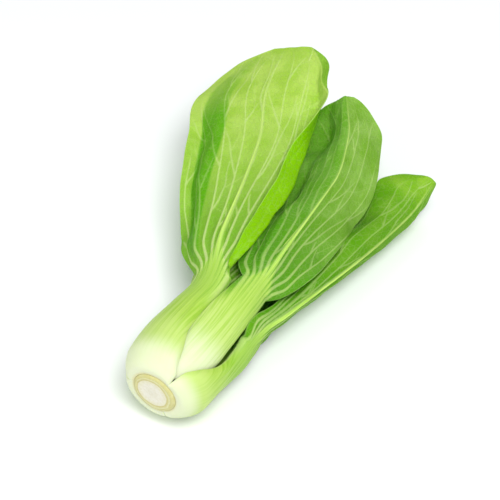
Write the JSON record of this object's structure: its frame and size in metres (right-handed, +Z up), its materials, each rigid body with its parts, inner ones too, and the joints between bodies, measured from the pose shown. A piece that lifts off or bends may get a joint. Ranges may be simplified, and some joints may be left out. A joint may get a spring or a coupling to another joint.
{
  "type": "bok choy head",
  "caption": "Head of baby bok choy lying on its side: pale thick stalks round a cut stump, opening into green leaf blades.",
  "frame": {"origin": "the flat spot under the bulb on which the lying head rests", "axes": "+Y along the head from its cut end to the leaf tips, +Z up from the surface it lies on"},
  "size_m": [0.1279, 0.2118, 0.0614],
  "materials": {
    "leaf": "waxy leaf",
    "heart_leaf": "young pale leaf",
    "cut_stem": "cut flesh"
  },
  "bodies": {
    "root": {"stump": "cut_stem", "leaf_outer_left": "leaf", "leaf_outer_right": "leaf", "leaf_outer_under": "leaf", "leaf_middle_top": "leaf", "leaf_middle_left": "leaf", "leaf_middle_under": "leaf", "leaf_inner_top": "leaf", "leaf_inner_right": "leaf", "leaf_inner_left": "leaf", "heart": "heart_leaf"}
  },
  "joints": []
}
